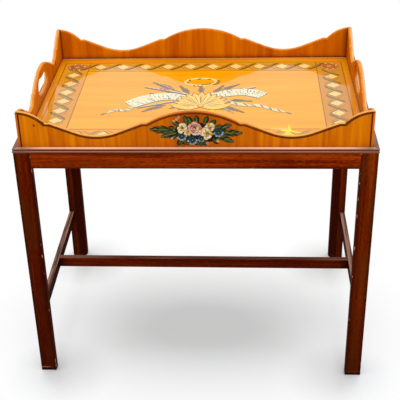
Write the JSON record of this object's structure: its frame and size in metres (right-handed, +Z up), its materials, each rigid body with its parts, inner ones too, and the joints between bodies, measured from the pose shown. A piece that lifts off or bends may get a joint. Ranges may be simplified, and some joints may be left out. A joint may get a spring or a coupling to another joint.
{
  "type": "butlers tray table",
  "caption": "Butler's tray table: a painted satinwood tray with scalloped galleries and hand holes lifts off a square-legged mahogany stand with an H stretcher and a moulded rim.",
  "frame": {"origin": "on the floor, under the middle of the table", "axes": "+Z up, +X to the right along the front, +Y from the front to the back"},
  "size_m": [0.7394, 0.5104, 0.6569],
  "materials": {
    "mahogany": "french polished, worn along the edges",
    "mahogany_moulding": "french polished",
    "satinwood": "satinwood under gloss varnish",
    "satinwood_floor": "satinwood under gloss varnish, painted decoration",
    "beech": "bare wood",
    "steel": "dull"
  },
  "bodies": {
    "stand": {"leg_front_left": "mahogany", "leg_front_right": "mahogany", "leg_rear_right": "mahogany", "leg_rear_left": "mahogany", "rail_front": "mahogany", "rail_right": "mahogany", "rail_rear": "mahogany", "rail_left": "mahogany", "stretcher_left": "mahogany", "stretcher_right": "mahogany", "stretcher_cross": "mahogany", "rim_front": "mahogany_moulding", "rim_right": "mahogany_moulding", "rim_rear": "mahogany_moulding", "rim_left": "mahogany_moulding", "corner_block_front_left": "beech", "corner_block_front_right": "beech", "corner_block_rear_right": "beech", "corner_block_rear_left": "beech", "corner_block_screws": "steel", "rim_pins": "steel"},
    "tray": {"tray_base": "satinwood_floor", "gallery_front": "satinwood", "gallery_right": "satinwood", "gallery_rear": "satinwood", "gallery_left": "satinwood", "tray_base_pins": "steel", "gallery_corner_splines": "beech"}
  },
  "joints": [
    {"name": "tray_lift", "type": "slide", "parent": "stand", "child": "tray", "axis": [0, 0, 1], "range_m": [0, 0.15]}
  ]
}
